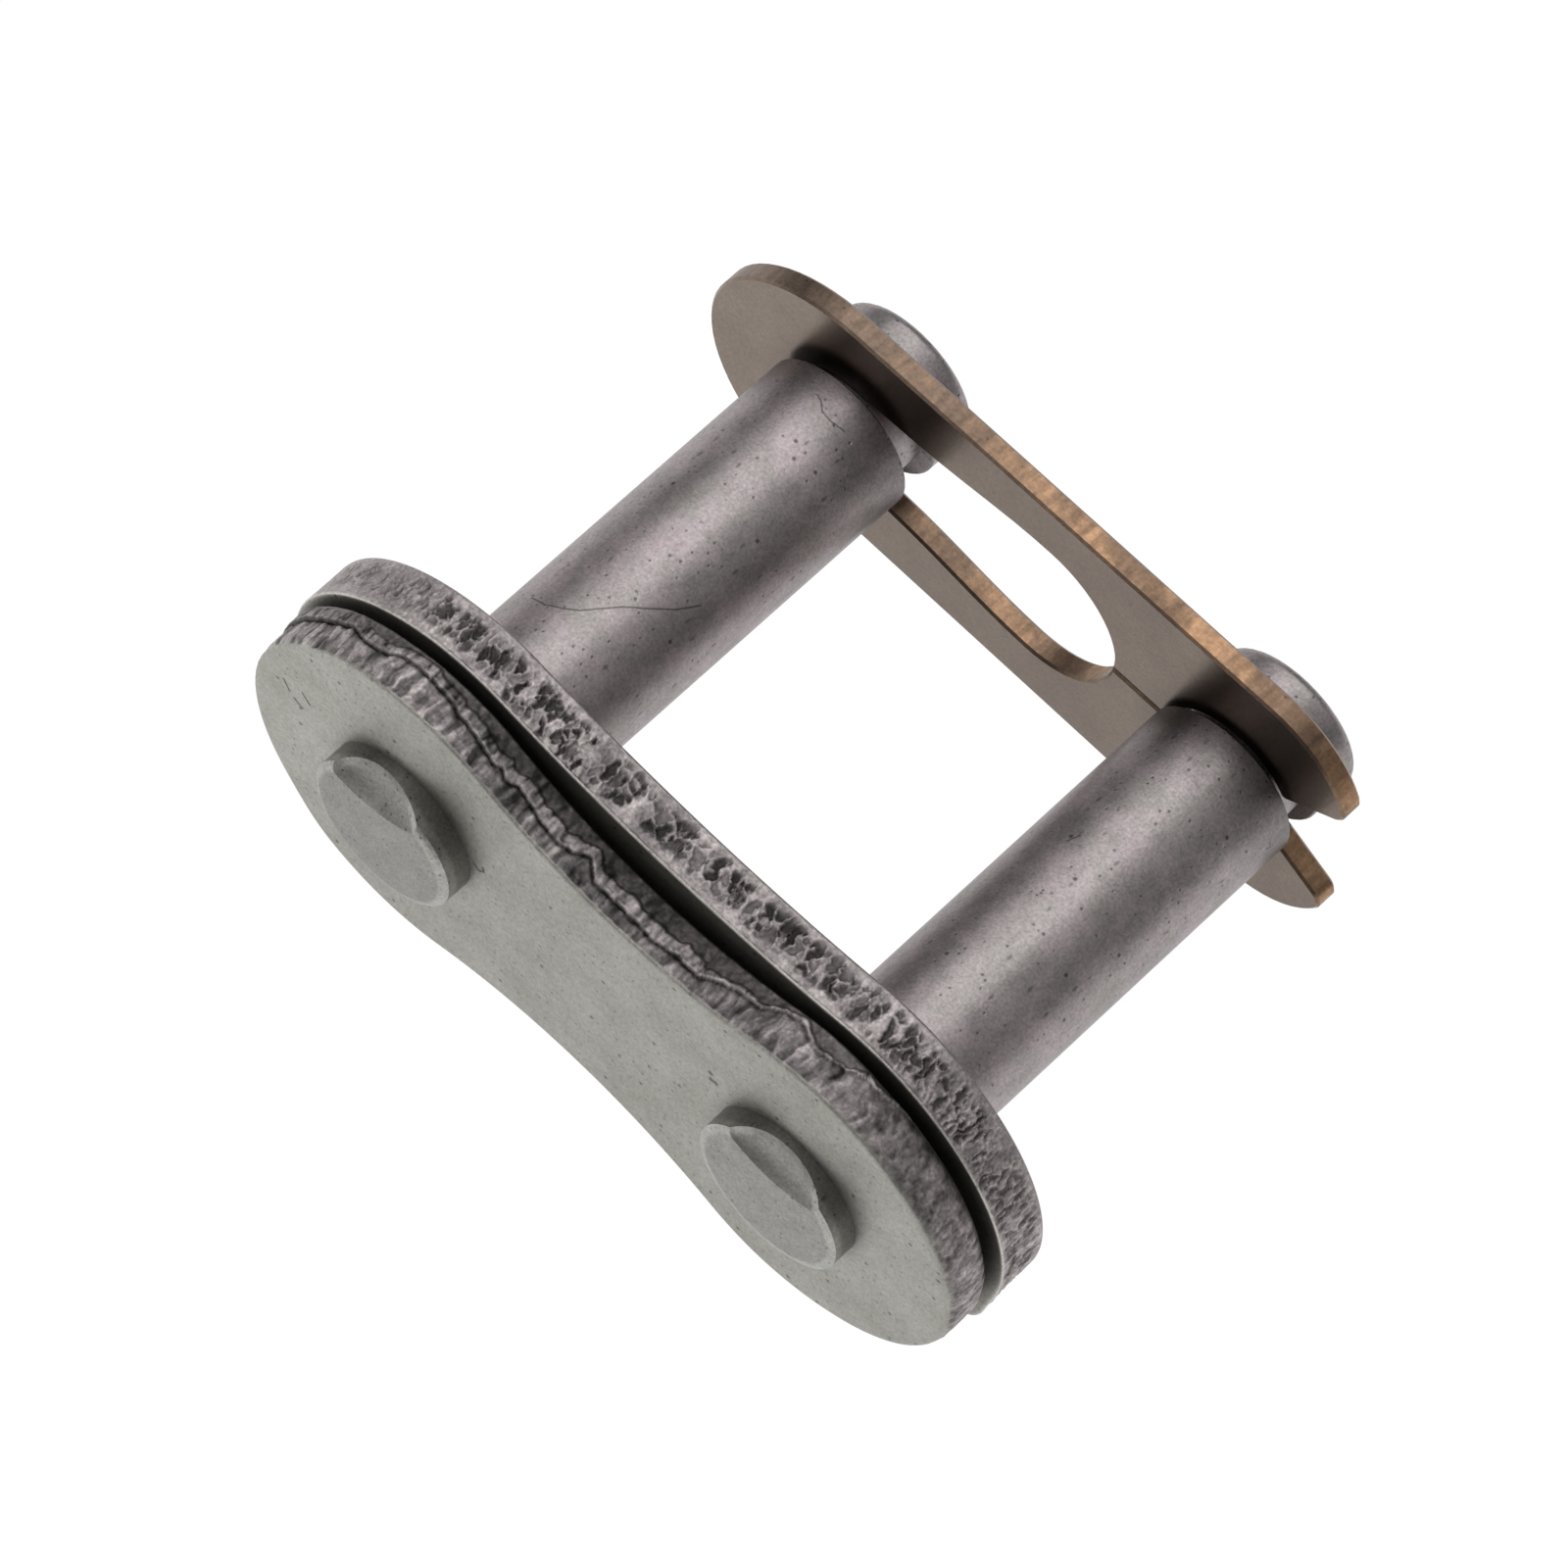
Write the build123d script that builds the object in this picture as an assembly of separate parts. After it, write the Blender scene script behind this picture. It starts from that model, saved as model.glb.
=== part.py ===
"""Connecting link of a half-inch roller chain, the loose link that joins the two ends of a chain.

Two pins stand in the pin link plate. The cover plate slides on over their free ends, and the spring
clip snaps into the grooves behind it. Here the cover plate is pushed back against the pin link plate,
which is how a new link is handed over, with the clip in its grooves.

X runs along the pitch from pin 1 to pin 2, Y along the pins from the pin link plate to the clip, and
Z across the plates, up. The origin is midway between the pins, half way along them. Millimetres.
"""

import os
from math import asin, atan2, cos, degrees, hypot, radians, sin, sqrt, tan

from build123d import *

os.makedirs("parts", exist_ok=True)

# chain
PITCH = 12.70

# pins, from the staked end to the domed end
PIN_R = 2.225  # bearing length, where the chain's bushes turn
SEAT_R = PIN_R - 0.025  # pressed into the pin link plate
HEAD_R = PIN_R - 0.075  # domed head behind the clip, which the cover plate goes on over
CORE_R = HEAD_R - 0.45  # bottom of the clip's groove
STAND_OUT = 0.80  # staked end in front of the pin link plate
BEARING_L = 13.62  # from the pin link plate's inner face to the groove
GROOVE_W = 1.05
HEAD_L = 1.18
DOME_H = 0.66
DOME_ROUND = 0.27  # where the dome turns into the head's side
END_RIM = 0.32  # width of the round that leads from the staked end's face to the pin's side
END_RIM_DEPTH = (0.16, 0.08)  # how far back it runs on each pin
SHOULDER_BREAK = 0.04  # on the groove's two rims
PRESSED_TO = (-0.07, 0.07)  # each pin was pressed in to a slightly different depth

# the scoop that a punch leaves in the upper rim of each staked end
STAKE_CHORD_Z = 1.15  # height above the pin's axis where the scoop opens in the end face
STAKE_REACH = (0.58, 0.50)  # how far back along each pin's top it runs
STAKE_R = 1.45  # of the punch's nose, seen from the side
STAKE_CROWN_R = 4.0  # of the punch's nose, seen from above
STAKE_SIDE = (-0.55, -0.15)  # each punch landed a little to the left of its pin's centre
STAKE_TURN = (6.0, 0.0)  # degrees that each punch was turned about its pin

# pin link plate, a waisted stamping
PLATE_T = 1.45
PLATE_R = 5.22  # of the round end about each pin
PLATE_HOLLOW = 1.12  # how far its sides curve in midway
PLATE_ROLL = 0.32  # rounded edge that the punch draws down on the outer face
BURNISH_SHARE = 0.60  # of the thickness that shears clean before the rest tears
TEAR_TAPER = 5.0  # degrees that the torn part leans in
BURR_BREAK = 0.06

# cover plate, from a shallower die
COVER_T = 1.45
COVER_R = 5.35
COVER_HOLLOW = 0.47
COVER_ROLL = 0.20
COVER_GAP = 0.22  # to the pin link plate, as pushed back
SLIDE_CLEARANCE = 0.05  # round each pin

# spring clip
CLIP_T = 0.65
CLOSED_HALF_H = 4.16  # half height at the closed end
OPEN_HALF_H = 4.26  # half height at the open end, a little more because the legs are sprung apart
CLOSED_END_X = 0.45  # centre of the closed end's outside, beyond pin 1
LEG_END_X = (3.59, 3.70)  # from pin 2 to the upper and the lower leg's end
LEG_END_R = 3.00  # of their outer corners
CLIP_CLEARANCE = 0.18  # round each groove's core
SEAT_SHIFT = CLIP_CLEARANCE - 0.025  # how far off its pin each seat sits, as the clip lies turned
CLIP_TURN = degrees(asin(SEAT_SHIFT / (PITCH / 2)))
SLIT = 0.12  # where the two legs almost meet
DROP_R = HEAD_R + 0.30  # round end of the teardrop that passes over a pin's head
DROP_X = PITCH - 6.25  # from pin 1 to the centre of that round end
DROP_HOLLOW = 0.17  # how far the teardrop's sides curve in from straight
THROAT_X = 1.60  # from pin 2 to where the seat opens into the mouth
THROAT = CORE_R - 0.72  # half height there, narrower than the groove's core
MOUTH_FLARE = (36.0, 28.0)  # degrees that the mouth's upper and lower lips lean out
TIP_ROUND = 0.45
THROAT_ROUND = 0.18
CLIP_BREAK = 0.07  # tumbled edges

# places along the pins
PIN_LENGTH = STAND_OUT + PLATE_T + BEARING_L + GROOVE_W + HEAD_L + DOME_H
Y_PIN_END = -PIN_LENGTH / 2
Y_PLATE = Y_PIN_END + STAND_OUT
Y_BEARING = Y_PLATE + PLATE_T
Y_COVER = Y_BEARING + COVER_GAP
Y_GROOVE = Y_BEARING + BEARING_L
Y_HEAD = Y_GROOVE + GROOVE_W
Y_DOME = Y_HEAD + HEAD_L
Y_CLIP = Y_GROOVE + (GROOVE_W - CLIP_T) / 2
PIN_X = (-PITCH / 2, PITCH / 2)


def upright(sketch, y):
    """A sketch drawn in X and Z, stood up at y."""
    return Plane.XZ.offset(-y) * sketch


def punched_from(sketch, y, thickness):
    """The sketch's solid from y towards +Y."""
    return extrude(upright(sketch, y), amount=-thickness)


def waisted_outline(end_r, hollow):
    """Round ends about both pins, joined by one hollow arc above and one below, tangent to them."""
    half, waist = PITCH / 2, end_r - hollow
    hollow_r = (half**2 + waist**2 - end_r**2) / (2 * (end_r - waist))
    lean = atan2(waist + hollow_r, half)
    x, z = half - end_r * cos(lean), end_r * sin(lean)
    lines = [
        ThreePointArc((-x, z), (-half - end_r, 0), (-x, -z)),
        ThreePointArc((-x, -z), (0, -waist), (x, -z)),
        ThreePointArc((x, -z), (half + end_r, 0), (x, z)),
        ThreePointArc((x, z), (0, waist), (-x, z)),
    ]
    return make_face(lines)


def stamped_plate(end_r, hollow, thickness, roll, bore_r, rolled_face_first):
    """A blanked plate from y = 0: rolled edge, clean shear, then the tear that leans in to the burr."""
    outline = waisted_outline(end_r, hollow)
    clean = thickness * BURNISH_SHARE
    plate = punched_from(outline, 0, clean)
    torn_start = upright(outline, clean)
    plate += extrude(torn_start, amount=-(thickness - clean), taper=TEAR_TAPER)
    rolled = plate.faces().sort_by(Axis.Y)[0].outer_wire().edges()
    plate = fillet(rolled, roll)
    burr = plate.faces().sort_by(Axis.Y)[-1].outer_wire().edges()
    plate = fillet(burr, BURR_BREAK)
    for x in PIN_X:
        plate -= punched_from(Pos(x, 0) * Circle(bore_r), 0, thickness)
    if not rolled_face_first:
        plate = Pos(0, thickness, 0) * Rot(0, 0, 180) * plate
    return plate


def pin_link_plate():
    plate = stamped_plate(PLATE_R, PLATE_HOLLOW, PLATE_T, PLATE_ROLL, SEAT_R, True)
    return Pos(0, Y_PLATE, 0) * plate


def cover_plate():
    bore_r = PIN_R + SLIDE_CLEARANCE
    plate = stamped_plate(COVER_R, COVER_HOLLOW, COVER_T, COVER_ROLL, bore_r, False)
    return Pos(0, Y_COVER, 0) * plate


def turned_pin(number):
    """The pin before it is staked, on the Y axis: half its outline, turned about Y.

    It will be moved by PRESSED_TO along Y, and its bearing length then starts at the plate's inner
    face.
    """
    y_step = Y_BEARING - PRESSED_TO[number]
    y_side = Y_PIN_END + END_RIM_DEPTH[number]
    rim = SHOULDER_BREAK
    sweep = 2 * atan2(END_RIM_DEPTH[number], END_RIM)
    end_r = END_RIM / sin(sweep)
    end_face = Line((0, Y_PIN_END), (SEAT_R - END_RIM, Y_PIN_END))
    end_round = CenterArc((SEAT_R - END_RIM, Y_PIN_END + end_r), end_r, -90, degrees(sweep))
    side = Polyline(
        (SEAT_R, y_side),
        (SEAT_R, y_step),
        (PIN_R, y_step),
        (PIN_R, Y_GROOVE - rim),
        (PIN_R - rim, Y_GROOVE),
        (CORE_R, Y_GROOVE),
        (CORE_R, Y_HEAD),
        (HEAD_R - rim, Y_HEAD),
        (HEAD_R, Y_HEAD + rim),
        (HEAD_R, Y_DOME),
    )
    rim_x = HEAD_R - DOME_ROUND
    crown_r = (rim_x**2 + DOME_H**2 - DOME_ROUND**2) / (2 * (DOME_H - DOME_ROUND))
    crown_y = Y_DOME + DOME_H - crown_r
    meet = degrees(atan2(Y_DOME - crown_y, rim_x))
    dome = [
        CenterArc((rim_x, Y_DOME), DOME_ROUND, 0, meet),
        CenterArc((0, crown_y), crown_r, meet, 90 - meet),
    ]
    axis = Line((0, Y_DOME + DOME_H), (0, Y_PIN_END))
    return revolve(make_face([end_face, end_round, side, *dome, axis]), Axis.Y)


def punch_nose(side, reach, turn):
    """The barrel-shaped nose of the punch, where it comes to rest in the pin's upper rim.

    Seen from the side its round passes through the scoop's two ends: the chord in the end face, and
    the point reach back along the pin's top.
    """
    rise = SEAT_R - STAKE_CHORD_Z
    across = hypot(reach, rise)
    out = sqrt(STAKE_R**2 - (across / 2) ** 2)
    y = Y_PIN_END + reach / 2 - out * rise / across
    z = STAKE_CHORD_Z + rise / 2 + out * reach / across
    half = PIN_R
    end_r = STAKE_R - (STAKE_CROWN_R - sqrt(STAKE_CROWN_R**2 - half**2))
    crown = ThreePointArc((-half, end_r), (0, STAKE_R), (half, end_r))
    sides = Polyline((half, end_r), (half, 0), (-half, 0), (-half, end_r))
    nose = revolve(make_face([crown, sides]), Axis.X)
    return Rot(0, -turn, 0) * Pos(side, y, z) * nose


def pin(number):
    nose = punch_nose(STAKE_SIDE[number], STAKE_REACH[number], STAKE_TURN[number])
    return Pos(PIN_X[number], PRESSED_TO[number], 0) * (turned_pin(number) - nose)


def teardrop():
    """The closed end's eye about pin 1, opening along hollowed sides to a round end past mid pitch."""
    eye_r = CORE_R + CLIP_CLEARANCE
    eye_x = PIN_X[0]
    drop_x = eye_x + DROP_X
    mid = ((eye_x + drop_x) / 2, (eye_r + DROP_R) / 2 - DROP_HOLLOW / 2)
    upper = Spline((eye_x, eye_r), mid, (drop_x, DROP_R), tangents=((1, 0), (1, 0)))
    lower = mirror(upper, Plane.XZ)
    eye = ThreePointArc((eye_x, -eye_r), (eye_x - eye_r, 0), (eye_x, eye_r))
    drop = ThreePointArc((drop_x, DROP_R), (drop_x + DROP_R, 0), (drop_x, -DROP_R))
    return make_face([eye, upper, drop, lower])


def mouth():
    """The flared way in to pin 2's seat, from the throat out past the tips."""
    x, run = PIN_X[1] + THROAT_X, max(LEG_END_X)
    upper, lower = (THROAT + run * tan(radians(flare)) for flare in MOUTH_FLARE)
    corners = [(PIN_X[1], THROAT), (x, THROAT), (x + run, upper)]
    corners += [(x + run, -lower), (x, -THROAT), (PIN_X[1], -THROAT)]
    return make_face(Polyline(*corners, close=True))


def clip_blank():
    """The clip's outside: a round closed end and two legs, rounded off beyond pin 2."""
    left = PIN_X[0] - CLOSED_END_X
    upper, lower = (PIN_X[1] + x for x in LEG_END_X)
    corners = [(left, -CLOSED_HALF_H), (left, CLOSED_HALF_H)]
    corners += [(upper, OPEN_HALF_H), (upper, 0), (lower, 0), (lower, -OPEN_HALF_H)]
    legs = make_face(Polyline(*corners, close=True))
    outer = legs.vertices().filter_by(lambda v: v.X > PIN_X[1] and abs(v.Y) > CLOSED_HALF_H)
    return fillet(outer, LEG_END_R) + Pos(left, 0) * Circle(CLOSED_HALF_H)


def clip_outline():
    seat_r = CORE_R + CLIP_CLEARANCE
    slit_from = PIN_X[0] + DROP_X
    slit = Pos((slit_from + PIN_X[1]) / 2, 0) * Rectangle(PIN_X[1] - slit_from, SLIT)
    hollow = teardrop() + slit + Pos(PIN_X[1], 0) * Circle(seat_r) + mouth()
    outline = clip_blank() - hollow
    past_pin = outline.vertices().filter_by(lambda v: v.X > PIN_X[1])
    lips = past_pin.filter_by(lambda v: v.X > PIN_X[1] + min(LEG_END_X) / 2 + THROAT_X / 2)
    outline = fillet(lips, TIP_ROUND)
    past_pin = outline.vertices().filter_by(lambda v: v.X > PIN_X[1])
    throat = past_pin.filter_by(lambda v: abs(v.Y) < THROAT * 1.1)
    return fillet(throat, THROAT_ROUND)


def spring_clip():
    clip = punched_from(clip_outline(), Y_CLIP, CLIP_T)
    rims = clip.faces().filter_by(Axis.Y).edges()
    return Rot(0, -CLIP_TURN, 0) * chamfer(rims, CLIP_BREAK)


export_step(pin_link_plate(), "parts/pin_link_plate.step")
export_step(cover_plate(), "parts/cover_plate.step")
export_step(spring_clip(), "parts/spring_clip.step")
export_step(pin(0), "parts/pin_1.step")
export_step(pin(1), "parts/pin_2.step")
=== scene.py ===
"""Looks for the chain connecting link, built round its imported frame.

The file follows the link as it is put together: the pin link plate, the pins pressed into it, the
cover plate, the spring clip, and then the table, the lamps and the camera. Coordinates are metres:
X along the pitch, Y along the pins towards the clip, Z up. The plates' sizes are in millimetres
until their mesh is made. In a material, places are in metres, so 6e-3 is 6 mm.
"""

import bpy
import numpy as np
from mathutils import Matrix, Vector
from mathutils.geometry import delaunay_2d_cdt


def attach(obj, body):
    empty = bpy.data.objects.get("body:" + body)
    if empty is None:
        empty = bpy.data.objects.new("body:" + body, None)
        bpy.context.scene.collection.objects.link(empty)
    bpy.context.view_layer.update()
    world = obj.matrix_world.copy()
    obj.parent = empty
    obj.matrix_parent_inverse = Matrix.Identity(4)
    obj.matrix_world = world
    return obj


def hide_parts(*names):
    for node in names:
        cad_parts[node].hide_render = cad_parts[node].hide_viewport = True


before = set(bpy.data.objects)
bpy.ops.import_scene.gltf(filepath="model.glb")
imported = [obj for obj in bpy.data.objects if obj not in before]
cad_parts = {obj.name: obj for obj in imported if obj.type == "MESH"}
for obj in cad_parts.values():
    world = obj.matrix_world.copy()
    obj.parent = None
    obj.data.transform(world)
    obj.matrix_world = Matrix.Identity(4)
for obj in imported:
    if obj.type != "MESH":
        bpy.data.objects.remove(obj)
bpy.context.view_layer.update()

# ---------------------------------------------------------------------------------------------
# The pin link plate is blanked from 1.45 mm strip steel and tumbled, so its face is smooth and its
# edge shows how the punch went through: a rolled rim, a striated sheared band, the line where the
# steel tore, a bright lip behind that line, and a hollow torn band down to the back face.

PITCH = 12.70
PLATE_Y = -8.575  # of the outer face
PLATE_T = 1.45
PLATE_R = 5.22  # of the round end about each pin
PLATE_WAIST = 4.10  # half the height in the middle
PIN_SEAT_R = 2.20
FLAT_RIM = 0.06  # of each face, between its first row of points and the edge
EDGE_ROWS = 48
BORE_POINTS = 96


def waisted_outline(end_r, waist, quarter_count):
    """Points and outward directions round a waisted plate, the outline's length s up to each, and
    its total length.

    One quarter is a round end about the right-hand pin, from the far end to where it touches the
    hollow arc, and that arc on to the middle of the plate. Three mirror images complete the loop,
    which runs from the right-hand end over the top.
    """
    half = PITCH / 2
    hollow_r = (half**2 + waist**2 - end_r**2) / (2 * (end_r - waist))
    high = waist + hollow_r
    lean = np.arctan2(high, half)
    end_length, hollow_length = end_r * (np.pi - lean), hollow_r * (np.pi / 2 - lean)
    s = (np.arange(quarter_count) + 0.5) * (end_length + hollow_length) / quarter_count
    on_end = s < end_length
    end_turn = s / end_r
    hollow_turn = -lean - (s - end_length) / hollow_r
    x = np.where(on_end, half + end_r * np.cos(end_turn), hollow_r * np.cos(hollow_turn))
    z = np.where(on_end, end_r * np.sin(end_turn), high + hollow_r * np.sin(hollow_turn))
    nx = np.where(on_end, np.cos(end_turn), -np.cos(hollow_turn))
    nz = np.where(on_end, np.sin(end_turn), -np.sin(hollow_turn))

    def loop(v, flip_x, flip_z):
        return np.concatenate([v, flip_x * v[::-1], flip_x * flip_z * v, flip_z * v[::-1]])

    total = 4 * (end_length + hollow_length)
    s = (np.arange(4 * quarter_count) + 0.5) * total / (4 * quarter_count)
    return loop(x, -1, 1), loop(z, 1, -1), loop(nx, -1, 1), loop(nz, 1, -1), s, total


def value_noise(u, v, period_u, seed):
    """Smooth noise from -1 to 1: random numbers at whole u and v, eased between. u repeats."""
    rng = np.random.default_rng(seed)
    rows = int(np.ceil(np.max(v))) + 3
    grid = rng.uniform(-1, 1, (period_u, rows))
    column, row = np.floor(u).astype(int), np.floor(v).astype(int)
    past_u, past_v = u - column, v - row
    share_u = past_u * past_u * (3 - 2 * past_u)
    share_v = past_v * past_v * (3 - 2 * past_v)
    column, following = column % period_u, (column + 1) % period_u
    row = np.clip(row, 0, rows - 2)
    low = grid[column, row] * (1 - share_u) + grid[following, row] * share_u
    high = grid[column, row + 1] * (1 - share_u) + grid[following, row + 1] * share_u
    return low * (1 - share_v) + high * share_v


def grain(s, y, total, size_s, size_y, seed, octaves=3):
    """Layers of value noise, each half the size and half the height of the one before.

    size_s and size_y are the size in mm of the coarsest grains, along the edge and across it. total
    is the outline's length, after which the noise repeats.
    """
    out, height = 0.0, 1.0
    for k in range(octaves):
        period = max(4, round(total / size_s * 2**k))
        v = (y + 1.0) / size_y * 2**k
        out = out + height * value_noise(s / total * period, v, period, seed + k)
        height *= 0.5
    return out


def ramp(v, low, high):
    """0 below low, 1 above high, eased between."""
    t = np.clip((v - low) / (high - low), 0, 1)
    return t * t * (3 - 2 * t)


def ring_faces(rows, count, start=0):
    """Quads between rows of count points each, closed round the loop."""
    r, c = np.meshgrid(np.arange(rows - 1), np.arange(count), indexing="ij")
    a, b = r * count + c, r * count + (c + 1) % count
    return start + np.stack([a, b, b + count, a + count], -1).reshape(-1, 4)


def filled_face(outline_xz, outline_ids, holes):
    """Triangles that fill a flat face between its outline and its holes, as vertex numbers.

    holes is a list of (xz points, vertex numbers). Everything is triangulated in one go. Kept are
    the triangles that lie in no hole, and whose middle the outline winds round.
    """
    loops = [outline_xz] + [points for points, numbers in holes]
    ids = np.concatenate([outline_ids] + [numbers for points, numbers in holes])
    xz = np.concatenate(loops)
    edges, first = [], 0
    for loop in loops:
        here = first + np.arange(len(loop))
        edges += np.stack([here, np.roll(here, -1)], -1).tolist()
        first += len(loop)
    result = delaunay_2d_cdt([Vector(point) for point in xz.tolist()], edges, [], 0, 1e-9)
    source = np.array([numbers[0] for numbers in result[3]])
    tris = source[np.array(result[2])]
    middle = xz[tris].mean(1)
    keep = np.ones(len(tris), bool)
    for loop in loops[1:]:
        centre = loop.mean(0)
        r = np.hypot(*(loop - centre).T).min()
        keep &= np.hypot(*(middle - centre).T) > r * 0.999
    seen = np.concatenate([outline_xz, outline_xz[:1]])[None] - middle[:, None]
    step = np.diff(np.arctan2(seen[..., 1], seen[..., 0]), axis=1)
    winding = np.abs(((step + np.pi) % (2 * np.pi) - np.pi).sum(1))
    keep &= winding > np.pi
    return ids[tris[keep]]


def plate_mesh(name, outline, thickness, face_y, edge, hole_r):
    """A blanked plate as one closed mesh, from its outer face at face_y to its back.

    edge(s, v, total) gives, for a place s along the outline and a share v of the way over the edge,
    how deep the place is below the face, how far in from the outline, and its tone, 1 on clean
    metal. The first and the last row of the mesh lie on the faces, FLAT_RIM in from the edge.
    """
    x, z, nx, nz, s, total = outline
    n = len(s)
    v = np.linspace(0, 1, EDGE_ROWS)[:, None]
    depth, inset, tone = (np.broadcast_to(part, (EDGE_ROWS, n)) for part in edge(s[None], v, total))
    on_edge = np.broadcast_to(ramp(v, 0.06, 0.2) * ramp(1 - v, 0, 0.06), (EDGE_ROWS, n))
    depth = np.concatenate([np.zeros((1, n)), depth, np.full((1, n), thickness)])
    inset = np.concatenate([inset[:1] + FLAT_RIM, inset, inset[-1:] + FLAT_RIM])
    tone = np.concatenate([np.ones((1, n)), tone, np.ones((1, n))])
    on_edge = np.concatenate([np.zeros((1, n)), on_edge, np.zeros((1, n))])
    rows = EDGE_ROWS + 2
    edge_x, edge_z = x - nx * inset, z - nz * inset
    verts = [np.stack([edge_x, depth + face_y, edge_z], -1).reshape(-1, 3)]
    quads = [ring_faces(rows, n)]
    first = n * rows
    turn = np.linspace(0, 2 * np.pi, BORE_POINTS, endpoint=False)
    holes = []
    for centre_x in (-PITCH / 2, PITCH / 2):
        hole_x, hole_z = centre_x + hole_r * np.cos(turn), hole_r * np.sin(turn)
        for y in (face_y, face_y + thickness):
            verts.append(np.stack([hole_x, np.full(BORE_POINTS, y), hole_z], -1))
        quads.append(ring_faces(2, BORE_POINTS, first)[:, ::-1])
        holes.append((np.stack([hole_x, hole_z], -1), first + np.arange(BORE_POINTS)))
        first += 2 * BORE_POINTS
    front_xz = np.stack([edge_x[0], edge_z[0]], -1)
    back_xz = np.stack([edge_x[-1], edge_z[-1]], -1)
    front = filled_face(front_xz, np.arange(n), holes)
    back_holes = [(points, numbers + BORE_POINTS) for points, numbers in holes]
    back = filled_face(back_xz, (rows - 1) * n + np.arange(n), back_holes)[:, ::-1]
    verts = np.concatenate(verts) * 0.001
    faces = np.concatenate(quads).tolist() + front.tolist() + back.tolist()
    mesh = bpy.data.meshes.new(name)
    mesh.from_pydata(verts.tolist(), [], faces)
    for key, values, elsewhere in (("tone", tone, 1.0), ("edge", on_edge, 0.0)):
        full = np.full(len(verts), elsewhere, np.float32)
        full[: n * rows] = values.reshape(-1)
        mesh.attributes.new(key, "FLOAT", "POINT").data.foreach_set("value", full)
    mesh.polygons.foreach_set("use_smooth", np.ones(len(faces), bool))
    mesh.set_sharp_from_angle(angle=np.radians(60))
    mesh.update()
    return mesh


def edge_profile(v, thickness, face_round, back_round):
    """The plain edge: face rim over the first 0.2 of v, side, back rim over the last 0.2."""
    face_turn = np.clip(v / 0.2, 0, 1) * np.pi / 2
    back_turn = np.clip((v - 0.8) / 0.2, 0, 1) * np.pi / 2
    side = np.clip((v - 0.2) / 0.6, 0, 1)
    straight = thickness - face_round - back_round
    y = face_round * (1 - np.cos(face_turn)) + side * straight + back_round * np.sin(back_turn)
    inset = face_round * (1 - np.sin(face_turn)) + back_round * (1 - np.cos(back_turn))
    return y, inset


# Where the tear starts, along the front plate's edge: quarters of the outline from the right-hand
# end over the top, and mm below the face.
TEAR_LINE = [
    (0.0, 1.70), (0.42, 1.40), (0.5, 1.13), (0.52, 1.18), (0.54, 1.08), (0.555, 0.97), (0.61, 0.88),
    (0.63, 0.95), (0.655, 1.13), (0.675, 1.18), (0.7, 1.15), (0.736, 0.86), (0.774, 0.86), (0.816, 0.76),
    (0.85, 0.50), (0.88, 0.50), (0.895, 0.57), (0.916, 0.48), (0.95, 0.46), (1.01, 0.52), (1.074, 0.48),
    (1.087, 0.62), (1.105, 0.88), (1.116, 0.80), (1.13, 0.62), (1.153, 0.54), (1.18, 0.52), (1.2, 0.56),
    (1.229, 0.66), (1.266, 0.74), (1.28, 0.57), (1.29, 0.58), (1.303, 0.70), (1.318, 0.60), (1.35, 0.68),
    (1.377, 0.73), (1.418, 0.80), (1.427, 0.87), (1.464, 0.95), (1.51, 1.00), (1.541, 1.00), (1.564, 0.95),
    (1.577, 0.83), (1.605, 0.75), (1.632, 0.80), (1.66, 0.93), (1.677, 1.02), (1.695, 0.98), (1.782, 0.95),
    (1.9, 1.00), (2.0, 1.04), (2.2, 1.05), (2.6, 0.80), (3.0, 0.90), (3.4, 1.30), (4.0, 1.70),
]


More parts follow.
